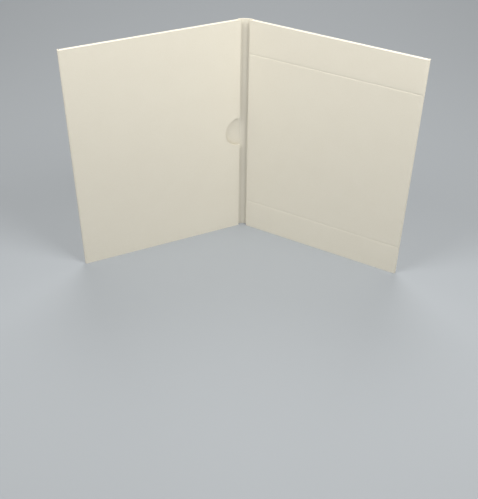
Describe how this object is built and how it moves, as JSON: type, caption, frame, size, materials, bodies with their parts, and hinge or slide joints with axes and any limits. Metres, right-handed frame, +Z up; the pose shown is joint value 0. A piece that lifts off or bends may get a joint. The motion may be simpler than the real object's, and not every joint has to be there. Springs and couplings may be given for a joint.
{
  "type": "dvd case",
  "caption": "Folded white paperboard disc case in book form, open on its lower edges, with a pocket in each cover, a thumb notch and pressed score lines.",
  "frame": {"origin": "middle of the case's box, on the surface that the case stands on", "axes": "+Z up along the spine, -Y towards the reader, whom the open inside faces, X across both covers"},
  "size_m": [0.2578, 0.0638, 0.19],
  "materials": {
    "white_board": "smooth uncoated warm white paperboard, matte"
  },
  "bodies": {
    "spine": {"spine": "white_board"},
    "left_cover": {"left_cover": "white_board"},
    "right_cover": {"right_cover": "white_board"}
  },
  "joints": [
    {"name": "left_cover_hinge", "type": "hinge", "parent": "spine", "child": "left_cover", "pos_m": [-0.00325, 0.03159, 0.095], "axis": [0, 0, 1], "range_deg": [-26, 64]},
    {"name": "right_cover_hinge", "type": "hinge", "parent": "spine", "child": "right_cover", "pos_m": [0.00325, 0.03159, 0.095], "axis": [0, 0, -1], "range_deg": [-26, 64]}
  ]
}
